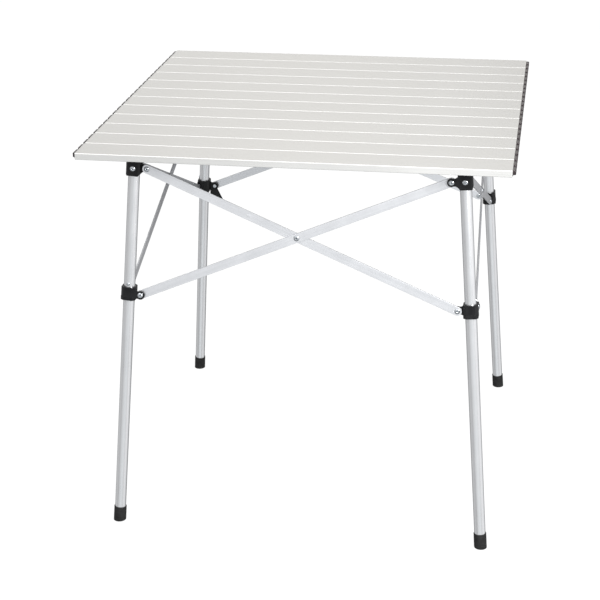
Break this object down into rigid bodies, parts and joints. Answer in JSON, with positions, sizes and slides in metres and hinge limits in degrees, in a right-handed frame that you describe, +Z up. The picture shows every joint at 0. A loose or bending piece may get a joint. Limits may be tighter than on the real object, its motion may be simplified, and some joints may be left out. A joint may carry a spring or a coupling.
{
  "type": "folding camping table",
  "caption": "Square folding camping table: a roll-up top of hollow aluminium slats on splayed tube legs with scissor braces, black plastic hubs, sliding collars and rubber feet.",
  "frame": {"origin": "middle of the table on the floor, level with the soles of the feet", "axes": "+X to the right along the slats, +Y to the rear, +Z up"},
  "size_m": [0.708, 0.6994, 0.69],
  "materials": {
    "slats": "satin anodised",
    "legs": "satin",
    "braces": "satin",
    "rivets": "bright",
    "hubs_and_collars": "moulded, slightly shiny",
    "feet": "matt"
  },
  "bodies": {
    "front_left_corner": {"front_left_hub": "hubs_and_collars", "front_left_leg": "legs", "front_left_foot": "feet", "front_left_leg_rivet": "rivets", "front_hub_rivet_inner": "rivets", "left_hub_rivet_outer": "rivets"},
    "front_left_slide": {"front_left_collar": "hubs_and_collars", "front_collar_rivet_outer": "rivets"},
    "front_right_corner": {"front_right_hub": "hubs_and_collars", "front_right_leg": "legs", "front_right_foot": "feet", "front_right_leg_rivet": "rivets", "right_hub_rivet_inner": "rivets", "front_hub_rivet_outer": "rivets"},
    "front_right_slide": {"front_right_collar": "hubs_and_collars", "right_collar_rivet_outer": "rivets"},
    "rear_right_corner": {"rear_right_hub": "hubs_and_collars", "rear_right_leg": "legs", "rear_right_foot": "feet", "rear_right_leg_rivet": "rivets", "rear_hub_rivet_inner": "rivets", "right_hub_rivet_outer": "rivets"},
    "rear_right_slide": {"rear_right_collar": "hubs_and_collars", "rear_collar_rivet_outer": "rivets"},
    "rear_left_corner": {"rear_left_hub": "hubs_and_collars", "rear_left_leg": "legs", "rear_left_foot": "feet", "rear_left_leg_rivet": "rivets", "left_hub_rivet_inner": "rivets", "rear_hub_rivet_outer": "rivets"},
    "rear_left_slide": {"rear_left_collar": "hubs_and_collars", "left_collar_rivet_outer": "rivets"},
    "front_inner": {"front_brace_inner": "braces", "front_collar_rivet_inner": "rivets", "front_crossing_rivet": "rivets"},
    "front_outer": {"front_brace_outer": "braces"},
    "right_inner": {"right_brace_inner": "braces", "right_collar_rivet_inner": "rivets"},
    "right_outer": {"right_brace_outer": "braces", "right_crossing_rivet": "rivets"},
    "rear_inner": {"rear_brace_inner": "braces", "rear_collar_rivet_inner": "rivets", "rear_crossing_rivet": "rivets"},
    "rear_outer": {"rear_brace_outer": "braces"},
    "left_inner": {"left_brace_inner": "braces", "left_collar_rivet_inner": "rivets", "left_crossing_rivet": "rivets"},
    "left_outer": {"left_brace_outer": "braces"},
    "slat_01": {"slat_01": "slats"},
    "slat_02": {"slat_02": "slats"},
    "slat_03": {"slat_03": "slats"},
    "slat_04": {"slat_04": "slats"},
    "slat_05": {"slat_05": "slats"},
    "slat_06": {"slat_06": "slats"},
    "slat_07": {"slat_07": "slats"},
    "slat_08": {"slat_08": "slats"},
    "slat_09": {"slat_09": "slats"},
    "slat_10": {"slat_10": "slats"},
    "slat_11": {"slat_11": "slats"},
    "slat_12": {"slat_12": "slats"}
  },
  "joints": [
    {"name": "frame_fold", "type": "hinge", "parent": "front_left_corner", "child": "front_inner", "pos_m": [-0.25106, -0.27312, 0.64386], "axis": [0, 0.9972, -0.0748], "range_deg": [0, 65.27]},
    {"name": "front_crossing", "type": "hinge", "parent": "front_inner", "child": "front_outer", "pos_m": [0, -0.28102, 0.53853], "axis": [0, 0.9972, -0.0748], "range_deg": [-122.42, 0]},
    {"name": "front_right_hub_pivot", "type": "hinge", "parent": "front_outer", "child": "front_right_corner", "pos_m": [0.25106, -0.27312, 0.64386], "axis": [0, 0.9972, -0.0748], "range_deg": [0, 65.27]},
    {"name": "right_inner_pivot", "type": "hinge", "parent": "front_right_corner", "child": "right_inner", "pos_m": [0.27312, -0.25106, 0.64386], "axis": [-0.9972, 0, -0.0748], "range_deg": [0, 65.27]},
    {"name": "left_outer_pivot", "type": "hinge", "parent": "front_left_corner", "child": "left_outer", "pos_m": [-0.27312, -0.25106, 0.64386], "axis": [-0.9972, 0, 0.0748], "range_deg": [0, 65.27]},
    {"name": "left_crossing", "type": "hinge", "parent": "left_outer", "child": "left_inner", "pos_m": [-0.28102, 0, 0.53853], "axis": [-0.9972, 0, 0.0748], "range_deg": [-122.42, 0]},
    {"name": "rear_left_hub_pivot", "type": "hinge", "parent": "left_inner", "child": "rear_left_corner", "pos_m": [-0.27312, 0.25106, 0.64386], "axis": [-0.9972, 0, 0.0748], "range_deg": [0, 65.27]},
    {"name": "rear_outer_pivot", "type": "hinge", "parent": "rear_left_corner", "child": "rear_outer", "pos_m": [-0.25106, 0.27312, 0.64386], "axis": [0, 0.9972, 0.0748], "range_deg": [0, 65.27]},
    {"name": "rear_crossing", "type": "hinge", "parent": "rear_outer", "child": "rear_inner", "pos_m": [0, 0.28102, 0.53853], "axis": [0, 0.9972, 0.0748], "range_deg": [-122.42, 0]},
    {"name": "rear_right_hub_pivot", "type": "hinge", "parent": "rear_inner", "child": "rear_right_corner", "pos_m": [0.25106, 0.27312, 0.64386], "axis": [0, 0.9972, 0.0748], "range_deg": [0, 65.27]},
    {"name": "right_outer_pivot", "type": "hinge", "parent": "rear_right_corner", "child": "right_outer", "pos_m": [0.27312, 0.25106, 0.64386], "axis": [0.9972, 0, 0.0748], "range_deg": [0, 65.27]},
    {"name": "front_left_collar_slide", "type": "slide", "parent": "front_left_corner", "child": "front_left_slide", "axis": [-0.0746, -0.0746, -0.9944], "range_m": [0, 0.3411]},
    {"name": "front_right_collar_slide", "type": "slide", "parent": "front_right_corner", "child": "front_right_slide", "axis": [0.0746, -0.0746, -0.9944], "range_m": [0, 0.3411]},
    {"name": "rear_right_collar_slide", "type": "slide", "parent": "rear_right_corner", "child": "rear_right_slide", "axis": [0.0746, 0.0746, -0.9944], "range_m": [0, 0.3411]},
    {"name": "rear_left_collar_slide", "type": "slide", "parent": "rear_left_corner", "child": "rear_left_slide", "axis": [-0.0746, 0.0746, -0.9944], "range_m": [0, 0.3411]},
    {"name": "top_lift", "type": "slide", "parent": "front_left_corner", "child": "slat_01", "axis": [0, 0, 1], "range_m": [0, 0.12]},
    {"name": "top_roll", "type": "hinge", "parent": "slat_01", "child": "slat_02", "pos_m": [0, -0.29165, 0.69], "axis": [1, 0, 0], "range_deg": [0, 50]},
    {"name": "slat_hinge_02", "type": "hinge", "parent": "slat_02", "child": "slat_03", "pos_m": [0, -0.23332, 0.69], "axis": [1, 0, 0], "range_deg": [0, 50.2]},
    {"name": "slat_hinge_03", "type": "hinge", "parent": "slat_03", "child": "slat_04", "pos_m": [0, -0.17499, 0.69], "axis": [1, 0, 0], "range_deg": [0, 51]},
    {"name": "slat_hinge_04", "type": "hinge", "parent": "slat_04", "child": "slat_05", "pos_m": [0, -0.11666, 0.69], "axis": [1, 0, 0], "range_deg": [0, 52.73]},
    {"name": "slat_hinge_05", "type": "hinge", "parent": "slat_05", "child": "slat_06", "pos_m": [0, -0.05833, 0.69], "axis": [1, 0, 0], "range_deg": [0, 55.58]},
    {"name": "slat_hinge_06", "type": "hinge", "parent": "slat_06", "child": "slat_07", "pos_m": [0, 0, 0.69], "axis": [1, 0, 0], "range_deg": [0, 59.74]},
    {"name": "slat_hinge_07", "type": "hinge", "parent": "slat_07", "child": "slat_08", "pos_m": [0, 0.05833, 0.69], "axis": [1, 0, 0], "range_deg": [0, 65.35]},
    {"name": "slat_hinge_08", "type": "hinge", "parent": "slat_08", "child": "slat_09", "pos_m": [0, 0.11666, 0.69], "axis": [1, 0, 0], "range_deg": [0, 72.57]},
    {"name": "slat_hinge_09", "type": "hinge", "parent": "slat_09", "child": "slat_10", "pos_m": [0, 0.17499, 0.69], "axis": [1, 0, 0], "range_deg": [0, 81.5]},
    {"name": "slat_hinge_10", "type": "hinge", "parent": "slat_10", "child": "slat_11", "pos_m": [0, 0.23332, 0.69], "axis": [1, 0, 0], "range_deg": [0, 92.28]},
    {"name": "slat_hinge_11", "type": "hinge", "parent": "slat_11", "child": "slat_12", "pos_m": [0, 0.29165, 0.69], "axis": [1, 0, 0], "range_deg": [0, 105.02]}
  ],
  "couplings": [
    {"joint": "front_crossing", "follows": "frame_fold", "ratio": -1.8748},
    {"joint": "front_right_hub_pivot", "follows": "frame_fold", "ratio": 1},
    {"joint": "right_inner_pivot", "follows": "frame_fold", "ratio": 1},
    {"joint": "left_outer_pivot", "follows": "frame_fold", "ratio": 1},
    {"joint": "left_crossing", "follows": "frame_fold", "ratio": -1.8748},
    {"joint": "rear_left_hub_pivot", "follows": "frame_fold", "ratio": 1},
    {"joint": "rear_outer_pivot", "follows": "frame_fold", "ratio": 1},
    {"joint": "rear_crossing", "follows": "frame_fold", "ratio": -1.8748},
    {"joint": "rear_right_hub_pivot", "follows": "frame_fold", "ratio": 1},
    {"joint": "right_outer_pivot", "follows": "frame_fold", "ratio": 1},
    {"joint": "front_left_collar_slide", "follows": "frame_fold", "m_per_rad": 0.299},
    {"joint": "front_right_collar_slide", "follows": "frame_fold", "m_per_rad": 0.299},
    {"joint": "rear_right_collar_slide", "follows": "frame_fold", "m_per_rad": 0.299},
    {"joint": "rear_left_collar_slide", "follows": "frame_fold", "m_per_rad": 0.299},
    {"joint": "slat_hinge_02", "follows": "top_roll", "ratio": 1.0035},
    {"joint": "slat_hinge_03", "follows": "top_roll", "ratio": 1.0197},
    {"joint": "slat_hinge_04", "follows": "top_roll", "ratio": 1.0542},
    {"joint": "slat_hinge_05", "follows": "top_roll", "ratio": 1.1113},
    {"joint": "slat_hinge_06", "follows": "top_roll", "ratio": 1.1945},
    {"joint": "slat_hinge_07", "follows": "top_roll", "ratio": 1.3067},
    {"joint": "slat_hinge_08", "follows": "top_roll", "ratio": 1.451},
    {"joint": "slat_hinge_09", "follows": "top_roll", "ratio": 1.6297},
    {"joint": "slat_hinge_10", "follows": "top_roll", "ratio": 1.8453},
    {"joint": "slat_hinge_11", "follows": "top_roll", "ratio": 2.1}
  ]
}
